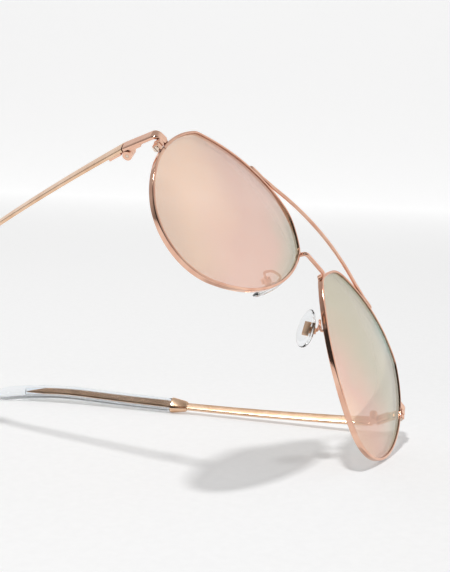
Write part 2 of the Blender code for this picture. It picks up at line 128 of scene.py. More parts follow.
reaches = [outline(math.radians(turn)).x for turn in range(0, 360, 5)]
LENS_WIDTH = max(reaches) - min(reaches)
print(f"lens {LENS_WIDTH:.1f} mm wide")

# %% [markdown]
# ## From the maker's axes to the standing glasses
# The shapes are easiest to think of with the lenses upright and facing forward. On a
# table the glasses lean back a little until rims and ear tips touch it. The lean is
# known, and the shift is read from the frame: the lowest and foremost places of the
# left rim have to meet the box of the rim's solid.

# %% Where the maker's axes stand in the frame
LEAN = math.radians(9.62)
lean_back = Matrix.Rotation(-LEAN, 4, "X")
edge_places = [on_rim(1, turn / 2, offset, depth)
               for turn in range(720) for offset in (0, RIM_FACE)
               for depth in (0, RIM_DEPTH)]
leaned = [lean_back @ place for place in edge_places]
rim_low, rim_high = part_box("left_rim")
shift = Vector([(rim_low[axis] + rim_high[axis]) / 2 / MM
                - (min(p[axis] for p in leaned) + max(p[axis] for p in leaned)) / 2
                for axis in range(3)])
AXES = Matrix.Translation(shift) @ lean_back
PLACE = Matrix.Diagonal((MM, MM, MM, 1)) @ AXES
print("axes stand at", [round(value, 2) for value in shift])

# %% [markdown]
# ## Camera
# The camera looks from in front and below at glasses that lie on their left side, so
# to the glasses it stands low on their right and is rolled. It is told in the
# maker's axes and then carried into the frame. A lens of about 64 mm gives the
# gentle perspective of a product shot.

# %% Camera
CAMERA_PLACE = Vector((-169.97, -155.46, -214.48))
CAMERA_LOOKS = Vector((0.4865, 0.55749, 0.67269))
CAMERA_ROLL = math.radians(16.25)
camera_data = bpy.data.cameras.new("product_camera")
camera_data.lens = 63.72
camera_data.sensor_width = 36
camera_data.clip_start = 0.01
camera = bpy.data.objects.new("product_camera", camera_data)
bpy.context.scene.collection.objects.link(camera)
turned = CAMERA_LOOKS.to_track_quat("-Z", "Y").to_matrix().to_4x4()
turned = AXES.to_3x3().to_4x4() @ turned @ Matrix.Rotation(CAMERA_ROLL, 4, "Z")
camera.matrix_world = Matrix.Translation(PLACE @ CAMERA_PLACE) @ turned
bpy.context.scene.camera = camera
print("camera at", [round(value, 3) for value in camera.matrix_world.translation])

# %% [markdown]
# ## Finishes
# Every finish is a Principled shader fed by noise. Values that are the same all over
# sit on the shader itself. What varies, such as tone, gloss and tiny bumps, comes
# from Object coordinates, so a pattern stays on its piece when a temple folds.


# %% A small kit for building materials
def new_finish(name):
    material = bpy.data.materials.new(name)
    material.use_nodes = True
    return material, material.node_tree, material.node_tree.nodes["Principled BSDF"]


def noise(tree, scale, detail=3.0, stretch=(1, 1, 1)):
    """Noise on Object coordinates. Scale counts waves per metre."""
    place = tree.nodes.new("ShaderNodeTexCoord")
    mapping = tree.nodes.new("ShaderNodeMapping")
    mapping.inputs["Scale"].default_value = stretch
    texture = tree.nodes.new("ShaderNodeTexNoise")
    texture.inputs["Scale"].default_value = scale
    texture.inputs["Detail"].default_value = detail
    tree.links.new(place.outputs["Object"], mapping.inputs["Vector"])
    tree.links.new(mapping.outputs["Vector"], texture.inputs["Vector"])
    return texture.outputs["Fac"]


def ramp(tree, value, *stops):
    """A colour ramp of (position, colour) stops."""
    node = tree.nodes.new("ShaderNodeValToRGB")
    while len(node.color_ramp.elements) < len(stops):
        node.color_ramp.elements.new(0.5)
    for element, (position, colour) in zip(node.color_ramp.elements, stops):
        element.position = position
        element.color = (*colour, 1)
    tree.links.new(value, node.inputs["Fac"])
    return node.outputs["Color"]


def spread(tree, value, low, high, start=0.3, end=0.7):
    """Stretch a noise value to run from low to high."""
    node = tree.nodes.new("ShaderNodeMapRange")
    for socket, number in (("From Min", start), ("From Max", end),
                           ("To Min", low), ("To Max", high)):
        node.inputs[socket].default_value = number
    tree.links.new(value, node.inputs["Value"])
    return node.outputs["Result"]


def bump(tree, shader, value, height_mm, strength=1.0):
    node = tree.nodes.new("ShaderNodeBump")
    node.inputs["Strength"].default_value = strength
    node.inputs["Distance"].default_value = height_mm * MM
    tree.links.new(value, node.inputs["Height"])
    tree.links.new(node.outputs["Normal"], shader.inputs["Normal"])


# %% [markdown]
# ### Rose-gold plating
# The frame is a nickel wire with a warm, pinkish gold plating. The plating is
# polished, but thousands of wipes leave it slightly uneven: the tone drifts over a
# centimetre, handled edges are paler, and hair-fine rubbing marks blur the shine.
# Crevices, the lens groove and the seams between parts are darkened in the colour
# itself: that is painted shade, found with an occlusion test.


# %% Metal finishes
# Painted shade: the colour is darkened where other surfaces lie within this reach, dark
# red-brown on the rose gold and the screws, faint on the warm gold.
PAINTED_SHADE_REACH = 0.7
CREVICE_PAINTED_SHADE_DARK = (0.26, 0.09, 0.05)
CREVICE_PAINTED_SHADE_FAINT = (0.85, 0.80, 0.75)


def plating(name, deep, pale, gloss_low, gloss_high, painted_crevice_shade):
    material, tree, shader = new_finish(name)
    shader.inputs["Metallic"].default_value = 1.0
    shader.inputs["Coat Weight"].default_value = 0.15
    shader.inputs["Coat Roughness"].default_value = 0.08
    drift = noise(tree, 160, 4)
    tone = ramp(tree, drift, (0.35, deep), (0.65, pale))
    worn = tree.nodes.new("ShaderNodeNewGeometry").outputs["Pointiness"]
    edge = spread(tree, worn, 0.0, 0.35, 0.52, 0.62)
    mix = tree.nodes.new("ShaderNodeMix")
    mix.data_type = "RGBA"
    tree.links.new(edge, mix.inputs["Factor"])
    tree.links.new(tone, mix.inputs[6])
    mix.inputs[7].default_value = (*[min(1, value * 1.15) for value in pale], 1)
    # Painted shade: an occlusion test darkens the colour in crevices, in the lens groove and
    # between parts.
    crevice = tree.nodes.new("ShaderNodeAmbientOcclusion")
    crevice.inputs["Distance"].default_value = PAINTED_SHADE_REACH * MM
    shade = ramp(tree, crevice.outputs["AO"], (0.35, painted_crevice_shade), (0.75, (1, 1, 1)))
    darken = tree.nodes.new("ShaderNodeMix")
    darken.data_type = "RGBA"
    darken.blend_type = "MULTIPLY"
    darken.inputs["Factor"].default_value = 1.0
    tree.links.new(mix.outputs[2], darken.inputs[6])
    tree.links.new(shade, darken.inputs[7])
    tree.links.new(darken.outputs[2], shader.inputs["Base Color"])
    rubbed = noise(tree, 900, 6, (1, 6, 6))
    tree.links.new(spread(tree, rubbed, gloss_low, gloss_high), shader.inputs["Roughness"])
    bump(tree, shader, noise(tree, 2400, 5, (1, 4, 4)), 0.004, 0.5)
    return material


rose_gold = plating("rose_gold_plating", (0.76, 0.42, 0.30), (0.86, 0.55, 0.41), 0.06, 0.16,
                    CREVICE_PAINTED_SHADE_DARK)
warm_gold = plating("warm_gold_plating", (0.78, 0.50, 0.32), (0.88, 0.62, 0.44), 0.12, 0.26,
                    CREVICE_PAINTED_SHADE_FAINT)
screw_metal = plating("turned_screw_metal", (0.72, 0.55, 0.44), (0.80, 0.66, 0.55), 0.16, 0.34,
                      CREVICE_PAINTED_SHADE_DARK)
print("metal finishes:", rose_gold.name, warm_gold.name, screw_metal.name)

# %% [markdown]
# ### Mirrored lens
# The lens is smoke plastic with a flash mirror on its front. The mirror is thinner
# toward one side, so its colour drifts from peach through pink to a greenish tint.
# Half of the light goes through: the shader is a bright coloured mirror with an
# alpha, so what lies behind the lens still shows.


# %% Lens finish
def mirror_lens(name, side, tilt, colours):
    """Colours run across the lens, along a line tilted up from the wearer's left."""
    material, tree, shader = new_finish(name)
    shader.inputs["Metallic"].default_value = 0.9
    shader.inputs["IOR"].default_value = 1.5
    shader.inputs["Coat Weight"].default_value = 0.3
    shader.inputs["Coat Roughness"].default_value = 0.03
    place = tree.nodes.new("ShaderNodeTexCoord")
    middle = PLACE @ Vector((side * LENS_SPACING / 2, 0, 0))
    runs = Vector((math.cos(math.radians(tilt)), 0, math.sin(math.radians(tilt))))
    mapping = tree.nodes.new("ShaderNodeMapping")
    mapping.vector_type = "TEXTURE"
    mapping.inputs["Location"].default_value = middle - runs * LENS_WIDTH / 2 * MM
    mapping.inputs["Rotation"].default_value = (0, -math.radians(tilt), 0)
    mapping.inputs["Scale"].default_value = (LENS_WIDTH * MM, MM, MM)
    gradient = tree.nodes.new("ShaderNodeTexGradient")
    tree.links.new(place.outputs["Object"], mapping.inputs["Vector"])
    tree.links.new(mapping.outputs["Vector"], gradient.inputs["Vector"])
    cloud = tree.nodes.new("ShaderNodeMath")
    cloud.operation = "ADD"
    tree.links.new(gradient.outputs["Fac"], cloud.inputs[0])
    tree.links.new(spread(tree, noise(tree, 45, 2), -0.08, 0.08), cloud.inputs[1])
    stops = [(index / (len(colours) - 1), colour) for index, colour in enumerate(colours)]
    tree.links.new(ramp(tree, cloud.outputs[0], *stops), shader.inputs["Base Color"])
    smear = noise(tree, 120, 6, (1, 1, 3))
    tree.links.new(spread(tree, smear, 0.02, 0.07), shader.inputs["Roughness"])
    tree.links.new(spread(tree, noise(tree, 30, 2), 0.50, 0.56), shader.inputs["Alpha"])
    bump(tree, shader, noise(tree, 60, 2), 0.002, 0.3)
    return material


PEACH = (1.0, 0.70, 0.50)
PINK = (0.86, 0.54, 0.42)
SAND = (0.64, 0.57, 0.40)
SEA_GREEN = (0.36, 0.66, 0.60)
lens_finish = {
    "right": mirror_lens("mirror_lens_right", -1, 15, (PEACH, PEACH, PINK, PINK, SAND)),
    "left": mirror_lens("mirror_lens_left", 1, 75, (PEACH, PINK, SAND, SAND, SEA_GREEN)),
}
print("lens finishes:", [finish.name for finish in lens_finish.values()])

# %% [markdown]
# ### Clear plastic and silicone
# The ear tips are clear, hard plastic moulded round the end of the wire, and the nose
# pads are clear soft silicone. Both let light through and bend it, so the metal
# inside looks wider and broken. A faint haze and shallow ripples keep them from
# looking like perfect glass.


# %% Clear finishes
def clear_finish(name, tint, ior, haze_low, haze_high, ripple_mm):
    material, tree, shader = new_finish(name)
    shader.inputs["Transmission Weight"].default_value = 1.0
    shader.inputs["IOR"].default_value = ior
    tone = ramp(tree, noise(tree, 80, 2), (0.3, tint), (0.7, (0.97, 0.98, 0.99)))
    tree.links.new(tone, shader.inputs["Base Color"])
    haze = spread(tree, noise(tree, 500, 4), haze_low, haze_high)
    tree.links.new(haze, shader.inputs["Roughness"])
    bump(tree, shader, noise(tree, 150, 2), ripple_mm, 0.4)
    return material


tip_finish = clear_finish("clear_tip_plastic", (0.90, 0.94, 0.98), 1.47, 0.01, 0.05, 0.02)
pad_finish = clear_finish("clear_pad_silicone", (0.92, 0.94, 0.95), 1.41, 0.04, 0.12, 0.03)
print("clear finishes:", tip_finish.name, pad_finish.name)

# %% [markdown]
# ## Lofting
# Nearly every piece of the glasses is a section carried along a line: rims, bars,
# wires and tips. A loft starts with one circle for each station, presses it into
# the section wanted there, and bridges it to the circle before. The open ends are
# filled, or the last circle is bridged back to the first.


# %% Loft helpers
def circle_edges(ring):
    members = set(ring)
    return list({edge for vert in ring for edge in vert.link_edges
                 if edge.other_vert(vert) in members})


def loft(stations, corners, shape, closed=False):
    """Bridge circles: shape(station, turn) places each corner, in millimetres."""
    bm = bmesh.new()
    rings = []
    for station in stations:
        ring = bmesh.ops.create_circle(bm, segments=corners, radius=1)["verts"]
        for number, vert in enumerate(ring):
            vert.co = shape(station, TURN * number / corners)
        rings.append((ring, circle_edges(ring)))
    pairs = list(zip(rings, rings[1:]))
    if closed:
        pairs.append((rings[-1], rings[0]))
    for (_, before), (_, after) in pairs:
        bmesh.ops.bridge_loops(bm, edges=before + after)
    if not closed:
        bmesh.ops.holes_fill(bm, edges=rings[0][1] + rings[-1][1])
    bmesh.ops.recalc_face_normals(bm, faces=bm.faces)
    return bm


def section(turn, half_side, half_rise, squareness=2.0):
    """A point on a rounded rectangle; squareness 2 is an ellipse."""
    power = 2 / squareness
    cos, sin = math.cos(turn), math.sin(turn)
    side = math.copysign(abs(cos) ** power, cos)
    rise = math.copysign(abs(sin) ** power, sin)
    return half_side * side, half_rise * rise


def along_line(spine, rings, corners, up=UP):
    """Loft rings of (distance, half_side, half_rise, squareness) along a spine."""
    def shape(ring, turn):
        distance, half_side, half_rise, squareness = ring
        point, ahead = spine(distance)
        side = ahead.cross(up).normalized()
        rise = side.cross(ahead)
        across, tall = section(turn, half_side, half_rise, squareness)
        return point + side * across + rise * tall

    return loft(rings, corners, shape)


def rounded_path(points, radius, steps=8):
    path = [points[0]]
    for before, corner, after in zip(points, points[1:], points[2:]):
        enter = corner + (before - corner).normalized() * radius
        leave = corner + (after - corner).normalized() * radius
        path += interpolate_bezier(
            enter, enter.lerp(corner, 0.6), leave.lerp(corner, 0.6), leave, steps + 1)
    return path + [points[-1]]


def path_spine(path):
    def spine(index):
        before = path[max(index - 1, 0)]
        after = path[min(index + 1, len(path) - 1)]
        return path[index], (after - before).normalized()
    return spine


def add_piece(name, bm, finish, body, nodes=(), sharp=35):
    """Turn a bmesh in maker's millimetres into a piece that rides on a body."""
    bmesh.ops.transform(bm, matrix=PLACE, verts=bm.verts)
    mesh = bpy.data.meshes.new(name)
    bm.to_mesh(mesh)
    bm.free()
    mesh.shade_smooth()
    mesh.set_sharp_from_angle(angle=math.radians(sharp))
    mesh.materials.append(finish)
    piece = bpy.data.objects.new(name, mesh)
    bpy.context.scene.collection.objects.link(piece)
    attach(piece, body)
    if nodes:
        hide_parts(*nodes)
    return piece


# %% [markdown]
# ## Rims
# Each rim is one wire bent round its lens, with a groove on the inside that holds
# the lens edge. The loft walks round the outline in small steps and leaves the
# narrow slit where the closing blocks pull the ends together. The groove is made
# by pushing the inner side of the section outward near its middle.


# %% Rims
def make_rim(name, side):
    half_face, half_depth, groove_half = RIM_FACE / 2, RIM_DEPTH / 2, 0.42

    def wire(degrees, turn):
        out, back = section(turn, half_face, half_depth, 6)
        if out < 0:
            out += GROOVE * max(0, 1 - abs(back) / groove_half)
        return on_rim(side, degrees, half_face + out, half_depth + back)

    steps = 300
    half_slit = 0.3
    sweep = 360 - 2 * half_slit
    stations = [RIM_SLIT + half_slit + sweep * step / steps for step in range(steps + 1)]
    bm = loft(stations, 32, wire)
    add_piece(f"{name}_rim_wire", bm, rose_gold, "frame",
              [f"{name}_rim"])


for name, side in SIDES.items():
    make_rim(name, side)
print("rims lofted")

# %% [markdown]
# ## Lenses
# A lens is lofted from its middle outward over the front, round the V-shaped edge
# that sits in the groove, and back over the rear face to the middle. The front and
# back faces are the same cap a thickness apart.


# %% Lenses
def make_lens(name, side):
    front, back = (RIM_DEPTH - LENS_THICKNESS) / 2 + 0.25, (RIM_DEPTH + LENS_THICKNESS) / 2
    mid = RIM_DEPTH / 2
    inset, bevel = -0.06, 0.35
    parts = [0.02, 0.1, 0.25, 0.4, 0.55, 0.7, 0.82, 0.92, 1.0]
    stations = [(part, inset, front) for part in parts]
    stations += [(1, inset, mid - bevel), (1, GROOVE - 0.08, mid), (1, inset, mid + bevel)]
    stations += [(part, inset, back) for part in reversed(parts)]

    def cap(station, turn):
        part, offset, depth = station
        edge = outline(turn + math.radians(RIM_SLIT), offset) * part
        return on_face(side, edge.x, edge.y, depth)

    bm = loft(stations, 180, cap)
    add_piece(f"{name}_lens_glass", bm, lens_finish[name], "frame",
              [f"{name}_lens"], sharp=25)


for name, side in SIDES.items():
    make_lens(name, side)
print("lenses lofted")

# %% [markdown]
# ## Bridge and brow bar
# The bridge is a short staple of wire that steps forward between the rims. A bead of
# solder holds each foot. The brow bar above it arches up and forward, round in the
# middle, with its ends flattened into small pads that lie on top of the rims.


# %% Bridge with its solder beads
def solder_bead(name, point, size, finish=rose_gold):
    """A smooth bead: a sphere flattened along the joint."""
    bm = bmesh.new()
    bmesh.ops.create_uvsphere(bm, u_segments=24, v_segments=14, radius=1)
    bmesh.ops.scale(bm, vec=size, verts=bm.verts)
    bmesh.ops.translate(bm, vec=point, verts=bm.verts)
    return add_piece(name, bm, finish, "frame")


BRIDGE_ANGLE = 8.0
BRIDGE_FORWARD = 2.4


def make_bridge():
    half_width, half_height = 0.6, 0.7
    foot = on_rim(-1, BRIDGE_ANGLE, RIM_FACE + FIT + half_width, RIM_DEPTH * 0.55)
    half = [foot, foot + Vector((0.4, -BRIDGE_FORWARD, 0))]
    mirrored = [Vector((-point.x, point.y, point.z)) for point in reversed(half)]
    path = rounded_path(half + mirrored, 1.1, steps=10)
    rings = [(index, half_width, half_height, 2.6) for index in range(len(path))]
    bm = along_line(path_spine(path), rings, 32)
    add_piece("bridge_wire", bm, rose_gold, "frame", ["bridge"])
    for name, side in SIDES.items():
        joint = on_rim(side, BRIDGE_ANGLE, RIM_FACE + 0.25, RIM_DEPTH * 0.5)
        solder_bead(f"{name}_bridge_solder", joint, (0.55, 0.75, 1.15))


make_bridge()
print("bridge lofted")

# %% Brow bar
BAR_PAD_ANGLES = (96, 94.8, 93.6, 92.4)
BAR_RISE = 2.6
BAR_FORWARD = 2.4


def bar_path(rest):
    """Through the pad on one rim, over an arch, and through the other pad."""
    half = [on_rim(-1, angle, rest, RIM_DEPTH / 2) for angle in BAR_PAD_ANGLES]
    leaves = half[-1]
    arch_steps = 16
    for step in range(1, arch_steps + 1):
        part = step / arch_steps
        arch = 1 - (1 - part) ** 2
        lift = Vector((-leaves.x * part, -BAR_FORWARD * arch, BAR_RISE * arch))
        half.append(leaves + lift)
    return half + [Vector((-point.x, point.y, point.z)) for point in reversed(half[:-1])]


def make_brow_bar():
    pad_half, bar_half = 0.5, 0.6
    path = bar_path(RIM_FACE + FIT + pad_half)
    last = len(path) - 1

    def spine(distance):
        index = min(int(distance), last - 1)
        point = path[index].lerp(path[index + 1], distance - index)
        return point, (path[index + 1] - path[index]).normalized()

    tip_steps = [0.0, 0.06, 0.16, 0.32, 0.55, 1, 2]
    steps = tip_steps + list(range(3, last - 2)) + [last - step for step in reversed(tip_steps)]
    rings = []
    for step in steps:
        from_end = min(step, last - step)
        slim = min(max((from_end - len(BAR_PAD_ANGLES) + 1) / 3, 0), 1)
        close = math.sqrt(max(1 - (1 - min(from_end / 0.55, 1)) ** 2, 0.04))
        half_depth = (1.1 - 0.5 * slim) * close
        half_height = (pad_half + (bar_half - pad_half) * slim) * (0.6 + 0.4 * close)
        rings.append((step, half_depth, half_height, 4 - 1.6 * slim))
    bm = along_line(spine, rings, 32)
    add_piece("brow_bar_strip", bm, rose_gold, "frame", ["brow_bar"])


make_brow_bar()
print("brow bar lofted")

# %% [markdown]
# ## End pieces
# At each outer corner a flat strip leaves the rim, turns back in a tight bend and
# carries the hinge. It is lofted along a rounded path, and a bead of solder joins it
# to the rim.

# %% End pieces
CORNER = Vector((68.9, 7.2, 6.4))
ARM_LENGTH = 12.0
ARM_OUT = math.radians(5.0)
STRIP_HALF = 0.6
HINGE_INSET = 2.45


def arm_end(side):
    point = CORNER + Vector((math.sin(ARM_OUT), math.cos(ARM_OUT), 0)) * ARM_LENGTH
    return Vector((side * point.x, point.y, point.z))


def hinge_point(side):
    inboard = Vector((-side * math.cos(ARM_OUT), math.sin(ARM_OUT), 0))
    return arm_end(side) + inboard * HINGE_INSET


def make_end_piece(name, side):
    start = on_rim(side, 163, RIM_FACE + 0.75, RIM_DEPTH / 2)
    start.z = CORNER.z + 0.8
    corner = Vector((side * CORNER.x, CORNER.y, CORNER.z))
    path = rounded_path([start, corner, arm_end(side)], 1.7, steps=12)
    last = len(path) - 1
    rings = [(index, STRIP_HALF, 1.3 + 0.5 * index / last, 5) for index in range(len(path))]
    bm = along_line(path_spine(path), rings, 40)
    add_piece(f"{name}_end_strip", bm, rose_gold, "frame",
              [f"{name}_end_piece"])
    solder_bead(f"{name}_end_solder", start, (0.75, 0.7, 1.1))


for name, side in SIDES.items():
    make_end_piece(name, side)
print("end pieces lofted")

# %% [markdown]
# ## Temples
# A temple is one flat bar, bowed slightly inward, that slims to a wire inside the ear
# tip and ends in a flat point. A flared collar hides the place where it enters the
# clear plastic, and the tip thickens toward its rounded end as it drops behind
# the ear. All of it follows one spine, turned about the hinge to where it rests.

# %% Temple sizes and spine
OPEN_IN = 1.1
REST_FOLD = {"left": 26.0, "right": 0.0}
TEMPLE_LENGTH = 145.0
FERRULE_START = 69.5
FERRULE_END = 76.0
EAR_START = 110.0
EAR_RADIUS = 100.0
BOW_RADIUS = 900.0
CORE_END = 133.0


def temple_spine(name, side):
    swing = Matrix.Rotation(side * math.radians(OPEN_IN + REST_FOLD[name]), 3, "Z")
    pin = hinge_point(side)

    def spine(distance):
        bow = distance / BOW_RADIUS
        inward = BOW_RADIUS * (1 - math.cos(bow))
        droop = max(distance - EAR_START, 0) / EAR_RADIUS
        back = min(distance, EAR_START) + EAR_RADIUS * math.sin(droop)
        drop = EAR_RADIUS * (1 - math.cos(droop))
        point = Vector((side * (HINGE_INSET - inward), back, -drop))
        ahead = Vector((-side * math.sin(bow), math.cos(bow) * math.cos(droop),
                        -math.sin(droop)))
        return pin + swing @ point, (swing @ ahead).normalized()
    return spine


def core_size(distance):
    if distance <= FERRULE_START:
        return STRIP_HALF, 1.8 - 0.35 * distance / FERRULE_START, 5
    part = (distance - FERRULE_START) / (CORE_END - FERRULE_START)
    return STRIP_HALF - 0.1 * part, 1.45 - 0.25 * part, 4


def tip_size(distance):
    widening = max(distance - EAR_START, 0) / (TEMPLE_LENGTH - EAR_START)
    half_side, half_rise = 1.85 - 0.2 * widening, 2.6 + 0.3 * widening ** 2
    left = (TEMPLE_LENGTH - distance) / 6.0
    close = math.sqrt(max(1 - (1 - min(left, 1)) ** 2, 0))
    return half_side * close, half_rise * close, 2.5


# %% Temple bars
def make_temple_bar(name, side):
    stations = [0.15, 0.3] + [2 + 3 * step for step in range(22)]
    stations += [FERRULE_START, FERRULE_END]
    stations += [78 + 2 * step for step in range(25)]
    rings = [(distance, *core_size(distance)) for distance in stations]
    rings += [(CORE_END - 5, 0.45, 0.9, 3), (CORE_END, 0.12, 0.12, 2)]
    bm = along_line(temple_spine(name, side), rings, 32)
    add_piece(f"{name}_temple_strip", bm, warm_gold, f"{name}_temple",
              [f"{name}_temple_bar"])


for name, side in SIDES.items():
    make_temple_bar(name, side)
print("temple bars lofted")


# %% Ferrules
def make_ferrule(name, side):
    start, end = FERRULE_START + 0.2, FERRULE_END - 0.05
    bore = (STRIP_HALF + 2 * FIT, 1.45 + 2 * FIT, 4)
    rings = [(start, *bore), (start, 0.9, 1.7, 4), (start + 0.15, 1.0, 1.8, 4),
             (start + 0.8, 1.3, 2.0, 4), (end - 1.0, 1.9, 2.85, 3.2),
             (end - 0.8, 1.95, 2.9, 3), (end - 0.1, 1.95, 2.9, 3), (end, 1.85, 2.8, 3),
             (end, *bore)]
    spine = temple_spine(name, side)

    def shape(ring, turn):
        distance, half_side, half_rise, squareness = ring
        point, ahead = spine(distance)
        across = ahead.cross(UP).normalized()
        rise = across.cross(ahead)
        wide, tall = section(turn, half_side, half_rise, squareness)
        return point + across * wide + rise * tall

    bm = loft(rings, 40, shape, closed=True)
    add_piece(f"{name}_ferrule_collar", bm, warm_gold, f"{name}_temple",
              [f"{name}_ferrule"], sharp=25)


for name, side in SIDES.items():
    make_ferrule(name, side)
print("ferrules lofted")


# %% Clear tips
def make_clear_tip(name, side):
    start, bottom = FERRULE_END + FIT, CORE_END + 0.4

    def channel(distance):
        half_side, half_rise, squareness = core_size(distance)
        return half_side + 2 * FIT, half_rise + 2 * FIT, squareness

    inside = [bottom] + [132 - 2 * step for step in range(28)] + [start]
    rings = [(bottom, 0.02, 0.02, 3)]
    rings += [(distance, *channel(min(distance, CORE_END))) for distance in inside]
    outside = [start, start + 0.2] + [78 + 2 * step for step in range(31)]
    outside += [TEMPLE_LENGTH - left for left in (6, 5, 4, 3, 2.2, 1.5, 0.9, 0.4, 0.1, 0.01)]
    rings += [(distance, *tip_size(distance)) for distance in outside]
    rings[len(inside) + 1] = (start, 1.7, 2.4, 2.5)
    bm = along_line(temple_spine(name, side), rings, 32)
    add_piece(f"{name}_tip_sleeve", bm, tip_finish, f"{name}_temple",
              [f"{name}_clear_tip"], sharp=50)


for name, side in SIDES.items():
    make_clear_tip(name, side)
print("clear tips lofted")

# %% [markdown]
# ## Nose pads
# Each pad is a soft clear oval with a small metal plate moulded in. A lug on the plate
# sits in a box at the end of a bent wire, so that the pad can rock on its screw. The
# pad starts as a sphere, is flattened, and then widened toward its lower end.

# %% Pad axes
PAD_MIDDLE = Vector((10.2, 7.6, -2.8))
PAD_UP = Vector((-0.41, -0.455, 0.79)).normalized()
PAD_OUT = Vector((-0.88, 0.12, -0.46))
PAD_SIZE = Vector((7.0, 2.0, 12.5))
PAD_AXIS_BACK = 2.1
LUG_WIDTH = 1.0
BOX_WIDTH = 2.6


def pad_axes(side):
    up = Vector((side * PAD_UP.x, PAD_UP.y, PAD_UP.z))
    face = Vector((side * PAD_OUT.x, PAD_OUT.y, PAD_OUT.z))
    face = (face - up * face.dot(up)).normalized()
    return Matrix((face.cross(up), face, up)).transposed()


def pad_axis_point(side):
    middle = Vector((side * PAD_MIDDLE.x, PAD_MIDDLE.y, PAD_MIDDLE.z))
    return middle - pad_axes(side).col[1] * PAD_AXIS_BACK


def pad_place(side):
    return Matrix.Translation(pad_axis_point(side)) @ pad_axes(side).to_4x4()


# %% Pads and their plates
def make_pad(name, side):
    bm = bmesh.new()
    bmesh.ops.create_uvsphere(bm, u_segments=48, v_segments=32, radius=0.5)
    bmesh.ops.scale(bm, vec=PAD_SIZE, verts=bm.verts)
    for vert in bm.verts:
        lower = -vert.co.z / PAD_SIZE.z
        vert.co.x *= 1 + 0.25 * lower
        vert.co.y += PAD_AXIS_BACK
    bmesh.ops.transform(bm, matrix=pad_place(side), verts=bm.verts)
    bmesh.ops.recalc_face_normals(bm, faces=bm.faces)
    add_piece(f"{name}_pad_oval", bm, pad_finish, f"{name}_pad",
              [f"{name}_nose_pad"], sharp=80)


def soft_box(low, high, bevel, segments=3):
    bm = bmesh.new()
    bmesh.ops.create_cube(bm, size=1)
    low, high = Vector(low), Vector(high)
    bmesh.ops.scale(bm, vec=high - low, verts=bm.verts)
    bmesh.ops.translate(bm, vec=(low + high) / 2, verts=bm.verts)
    bmesh.ops.bevel(bm, geom=bm.edges[:], offset=bevel, offset_type="OFFSET",
                    segments=segments, profile=0.5, affect="EDGES", material=-1)
    return bm


def make_pad_plate(name, side):
    back = PAD_AXIS_BACK - PAD_SIZE.y / 2
    bm = soft_box((-1.25, back + 0.15, -2.25), (1.25, back + 0.7, 2.25), 0.2)
    bmesh.ops.transform(bm, matrix=pad_place(side), verts=bm.verts)
    add_piece(f"{name}_pad_plate", bm, warm_gold, f"{name}_pad",
              [f"{name}_pad_insert"])
    lug = soft_box((-LUG_WIDTH / 2, -0.6, -0.8), (LUG_WIDTH / 2, back + 0.3, 0.8), 0.15)
    bmesh.ops.transform(lug, matrix=pad_place(side), verts=lug.verts)
    add_piece(f"{name}_pad_lug", lug, warm_gold, f"{name}_pad")


for name, side in SIDES.items():
    make_pad(name, side)
    make_pad_plate(name, side)
print("pads made")


# %% Pad arms
def make_pad_arm(name, side):
    axes = pad_axes(side)
    box_back = pad_axis_point(side) + axes @ Vector((0, -1.3 - FIT, 0.2))
    foot = on_rim(side, 331.5, RIM_FACE * 0.5, RIM_DEPTH + 0.05)
    rise = [Vector((0, 1.1, 0)), Vector((-side * 1.3, 1.4, 4.2)),
            Vector((side * 1.2, 3.0, 5.2))]
    bends = [foot + step for step in rise] + [box_back + axes @ Vector((0, -1.7, 0))]
    path = rounded_path([foot] + bends + [box_back], 0.95, steps=8)
    rings = [(index, 0.42, 0.42, 2) for index in range(len(path))]
    bm = along_line(path_spine(path), rings, 20, up=Vector((0.9 * side, 0.3, 0.1)))
    add_piece(f"{name}_pad_wire", bm, rose_gold, "frame",
              [f"{name}_pad_arm"])
    solder_bead(f"{name}_pad_solder", foot, (0.6, 0.35, 0.6))


for name, side in SIDES.items():
    make_pad_arm(name, side)
print("pad arms lofted")

# %% [markdown]
# ## Small solids that keep their shape
# The closing blocks, hinge leaves, pad boxes and screws are right as they are. They
# only take a finish, in place of the plain one they came with.

# %% Finishes for the small solids
for node_name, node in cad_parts.items():
    if node.hide_render:
        continue
    finish = screw_metal if "screw" in node_name else rose_gold
    for slot_place in node.material_slots:
        slot_place.material = finish
    print("kept:", node_name, "in", finish.name)

# %% [markdown]
# ## The floor the glasses lie on
# The glasses lie on their left side. The floor is found from the solids themselves:
# a convex hull is stretched over all of them, and its broad face on the left and
# underneath is the plane they rest on. The floor is a sheet that sweeps up into a
# wall far behind, so that no horizon shows. It is only seen from its front.

# %% Floor plane
LYING_SIDE = AXES.to_3x3() @ Vector((0.74, 0.39, -0.55))
hull = bmesh.new()
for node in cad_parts.values():
    for vert in node.data.vertices:
        hull.verts.new(vert.co)
bmesh.ops.convex_hull(hull, input=hull.verts)
sides = [face for face in hull.faces if face.normal.dot(LYING_SIDE) > 0.97]
rest_face = max(sides, key=lambda face: face.calc_area())
FLOOR_UP = -rest_face.normal.copy()
FLOOR_POINT = rest_face.calc_center_median().copy()
hull.free()
print("floor faces", [round(value, 3) for value in FLOOR_UP])


# %% [markdown]
# ## Paper sweep
# The paper is lit from above and glows a little, as it does when a lamp stands behind
# it. The glow grows with the distance from the glasses, where the lamp above fades,
# so that the floor and the wall look like one even sheet. A faint grain breaks it up.

# %% Paper
GLOW_NEAR, GLOW_FAR = 0.31, 0.67
GLOW_START, GLOW_END = 0.1, 1.6
away = camera.matrix_world.to_3x3() @ Vector((0, 0, -1))
away = (away - FLOOR_UP * away.dot(FLOOR_UP)).normalized()
across = away.cross(FLOOR_UP)


def along_direction(tree, source, direction):
    """How far a position or a direction reaches along another direction."""
    node = tree.nodes.new("ShaderNodeVectorMath")
    node.operation = "DOT_PRODUCT"
    node.inputs[1].default_value = direction
    tree.links.new(source, node.inputs[0])
    return node.outputs["Value"]


